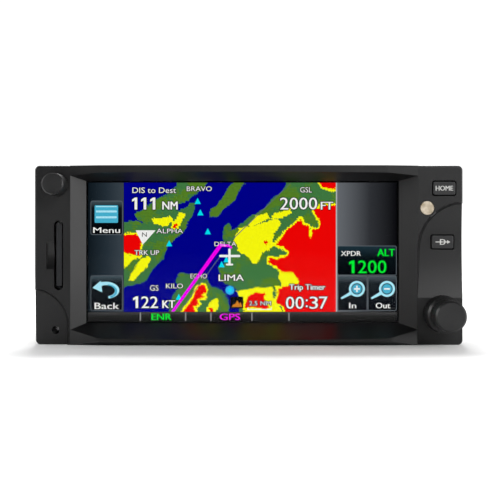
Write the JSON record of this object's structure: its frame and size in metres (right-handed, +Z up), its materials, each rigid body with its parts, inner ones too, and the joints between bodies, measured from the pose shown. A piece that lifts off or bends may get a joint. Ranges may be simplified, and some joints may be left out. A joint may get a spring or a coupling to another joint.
{
  "type": "panel-mounted aviation GPS navigator",
  "caption": "Panel-mounted aircraft GPS and radio navigator: wide touch screen in a black bezel, concentric knobs, keys and card slot, in a finned-back aluminium tray case.",
  "frame": {"origin": "centre of the whole unit's footprint, on the surface that it stands on", "axes": "+X to the pilot's right, +Y back into the instrument panel, +Z up; the screen faces -Y"},
  "size_m": [0.1588, 0.303, 0.0665],
  "materials": {
    "bezel_black": "fine moulded texture, slight sheen",
    "cover_glass": "clear, gloss",
    "seal_rubber": "matt",
    "screen": "smooth",
    "light_guide": "translucent white",
    "plated_steel": "zinc plated",
    "knob_black": "knurled, satin",
    "key_black": "satin",
    "encoder_grey": "moulded",
    "shaft_steel": "turned",
    "switch_tan": "moulded",
    "lens_cream": "diffusing",
    "sensor_black": "moulded",
    "circuit_green": "solder mask",
    "card_plastic": "moulded",
    "reader_steel": "tin plated",
    "case_aluminium": "chromate-treated sheet",
    "screw_steel": "stainless",
    "lock_brass": "turned",
    "connector_steel": "nickel plated",
    "socket_nickel": "nickel plated",
    "heatsink_black": "black anodised",
    "fan_plastic": "glass-filled",
    "guard_wire": "bright wire",
    "shield_tin": "tin plated",
    "component_black": "moulded",
    "flex_amber": "polyimide",
    "lead_black": "jacketed",
    "plate_silver": "satin foil"
  },
  "bodies": {
    "case": {"bezel_frame": "bezel_black", "bezel_screws": "screw_steel", "board_screws": "screw_steel", "board_standoffs": "plated_steel", "card_reader": "reader_steel", "case_screws": "screw_steel", "chassis_tub": "case_aluminium", "com_antenna_lead": "lead_black", "com_antenna_socket": "socket_nickel", "com_module": "shield_tin", "connector_posts": "screw_steel", "control_board_screws": "screw_steel", "data_plate": "plate_silver", "display_flex": "flex_amber", "display_gasket": "seal_rubber", "display_glass": "cover_glass", "fan_frame": "fan_plastic", "fan_guard": "guard_wire", "fan_screws": "screw_steel", "flex_connector": "encoder_grey", "front_plate": "case_aluminium", "gps_antenna_lead": "lead_black", "gps_antenna_socket": "socket_nickel", "gps_module": "shield_tin", "guide_pins": "shaft_steel", "heat_spreader": "case_aluminium", "key_switches": "switch_tan", "lcd_backlight": "light_guide", "lcd_panel": "screen", "lcd_tray": "plated_steel", "left_control_board": "circuit_green", "light_sensor": "sensor_black", "lock_blocks": "lock_brass", "main_board": "circuit_green", "main_connector": "connector_steel", "photocell_lens": "lens_cream", "power_board": "circuit_green", "power_components": "component_black", "rear_heatsink": "heatsink_black", "rear_plate": "case_aluminium", "right_control_board": "circuit_green", "second_connector": "connector_steel", "top_cover": "case_aluminium", "tuning_encoder": "encoder_grey", "volume_encoder": "encoder_grey"},
    "volume_turner": {"volume_rotor": "encoder_grey"},
    "volume_control": {"volume_knob": "knob_black", "volume_shaft": "shaft_steel"},
    "outer_tuning": {"outer_knob": "knob_black", "outer_shaft": "shaft_steel"},
    "inner_turner": {"inner_rotor": "encoder_grey"},
    "inner_tuning": {"inner_knob": "knob_black", "inner_shaft": "shaft_steel"},
    "home_button": {"home_key": "key_black"},
    "direct_button": {"direct_key": "key_black"},
    "data_card": {"data_card": "card_plastic"},
    "fan_wheel": {"fan_rotor": "fan_plastic"},
    "lock_screw": {"lock_screw": "shaft_steel"},
    "lock_nut": {"lock_nut": "lock_brass"},
    "lock_dog": {"lock_dog": "shaft_steel"}
  },
  "joints": [
    {"name": "volume_turn", "type": "hinge", "parent": "case", "child": "volume_turner", "pos_m": [-0.07107, -0.1295, 0.0592], "axis": [0, 1, 0], "range_deg": [-150, 150]},
    {"name": "volume_push", "type": "slide", "parent": "volume_turner", "child": "volume_control", "axis": [0, 1, 0], "range_m": [0, 0.0006], "stiffness_N_per_m": 2500},
    {"name": "outer_knob_turn", "type": "hinge", "parent": "case", "child": "outer_tuning", "pos_m": [0.07178, -0.1295, 0.0115], "axis": [0, 1, 0], "continuous": true},
    {"name": "inner_knob_turn", "type": "hinge", "parent": "case", "child": "inner_turner", "pos_m": [0.07178, -0.1295, 0.0115], "axis": [0, 1, 0], "continuous": true},
    {"name": "inner_knob_push", "type": "slide", "parent": "inner_turner", "child": "inner_tuning", "axis": [0, 1, 0], "range_m": [0, 0.0006], "stiffness_N_per_m": 2500},
    {"name": "home_key_press", "type": "slide", "parent": "case", "child": "home_button", "axis": [0, 1, 0], "range_m": [0, 0.0006], "stiffness_N_per_m": 2500},
    {"name": "direct_key_press", "type": "slide", "parent": "case", "child": "direct_button", "axis": [0, 1, 0], "range_m": [0, 0.0006], "stiffness_N_per_m": 2500},
    {"name": "card_slide", "type": "slide", "parent": "case", "child": "data_card", "axis": [0, -1, 0], "range_m": [-0.001, 0.036]},
    {"name": "fan_spin", "type": "hinge", "parent": "case", "child": "fan_wheel", "pos_m": [-0.054, 0.1285, 0.036], "axis": [0, 1, 0], "continuous": true},
    {"name": "lock_screw_turn", "type": "hinge", "parent": "case", "child": "lock_screw", "pos_m": [-0.07197, -0.1065, 0.0054], "axis": [0, 1, 0], "range_deg": [0, 4320]},
    {"name": "lock_nut_travel", "type": "slide", "parent": "case", "child": "lock_nut", "axis": [0, -1, 0], "range_m": [0, 0.0095]},
    {"name": "lock_dog_swing", "type": "hinge", "parent": "lock_nut", "child": "lock_dog", "pos_m": [-0.07197, -0.0845, 0.0054], "axis": [0, 1, 0], "range_deg": [0, 90]}
  ],
  "couplings": [
    {"joint": "lock_screw_turn", "follows": "lock_nut_travel", "rad_per_m": 7936}
  ]
}
